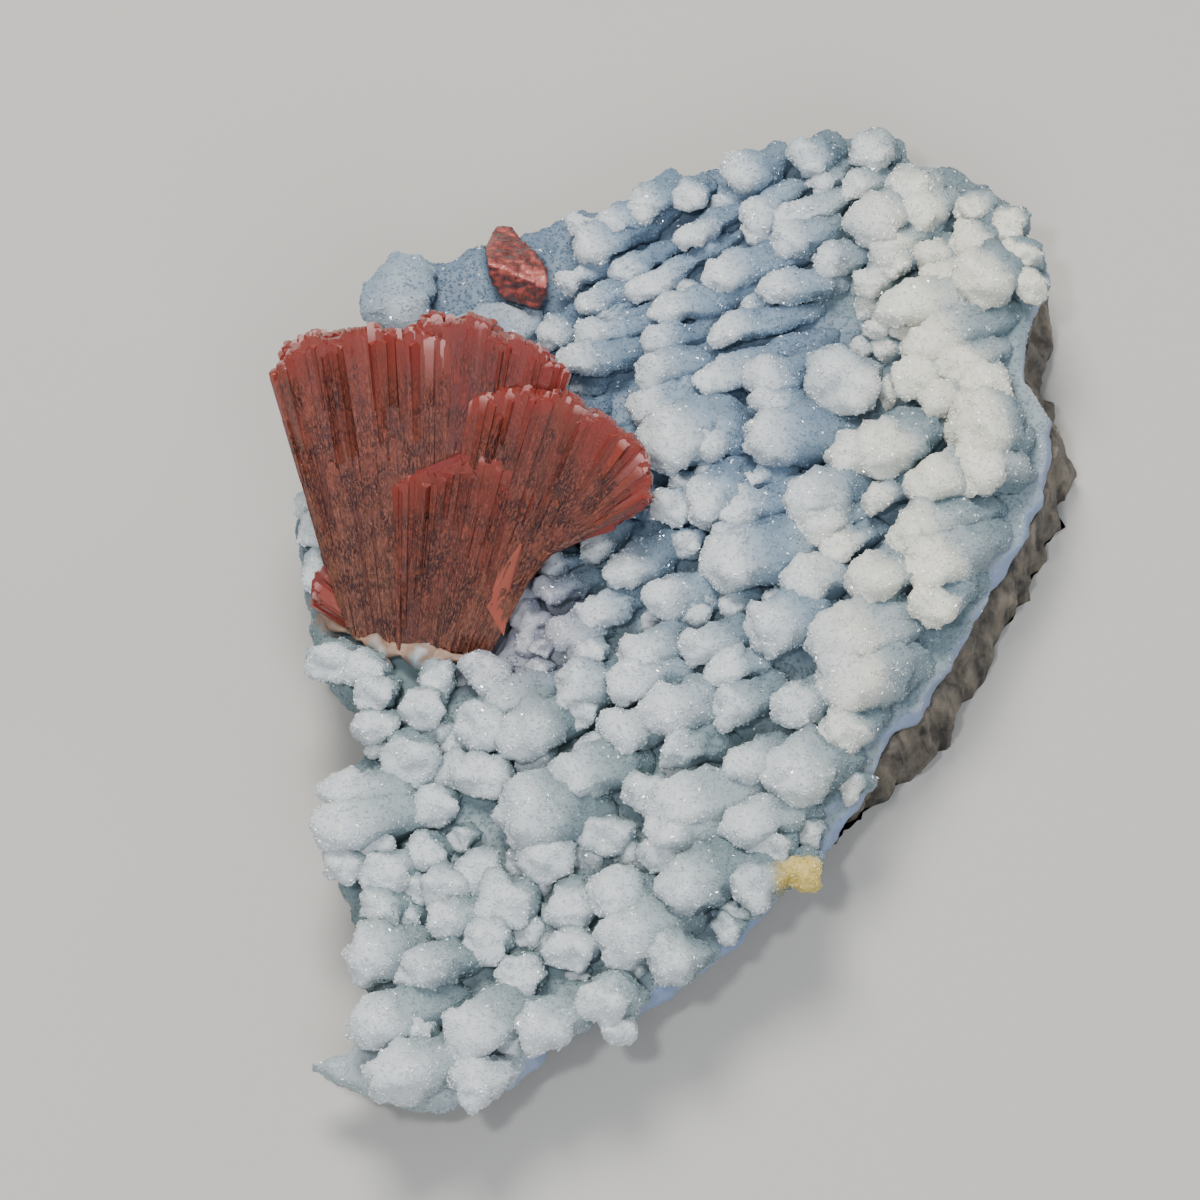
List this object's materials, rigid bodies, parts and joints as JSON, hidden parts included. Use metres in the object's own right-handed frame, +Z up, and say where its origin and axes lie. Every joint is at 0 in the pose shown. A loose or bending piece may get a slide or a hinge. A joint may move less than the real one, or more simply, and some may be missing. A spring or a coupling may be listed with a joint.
{
  "type": "heulandite on drusy chalcedony",
  "caption": "Loose slab of dark basalt covered in blue-white drusy chalcedony fingers, with a leaning red fan of heulandite and a small heulandite crystal.",
  "frame": {"origin": "centre of the floor of the bounding box, on the surface the slab lies on", "axes": "+Z up; +Y from the pointed front end to the broad back end, the longest extent; +X to the side with the bare basalt edge"},
  "size_m": [0.1006, 0.135, 0.0435],
  "materials": {
    "basalt": "rough, hackly broken rock",
    "chalcedony": "translucent blue-white, covered in sugary quartz",
    "heulandite": "glassy red, streaked along the blades",
    "heulandite_single": "pearly salmon red"
  },
  "bodies": {
    "root": {"basalt_matrix": "basalt", "chalcedony_druse": "chalcedony", "heulandite_fan": "heulandite", "heulandite_crystal": "heulandite_single"}
  },
  "joints": []
}
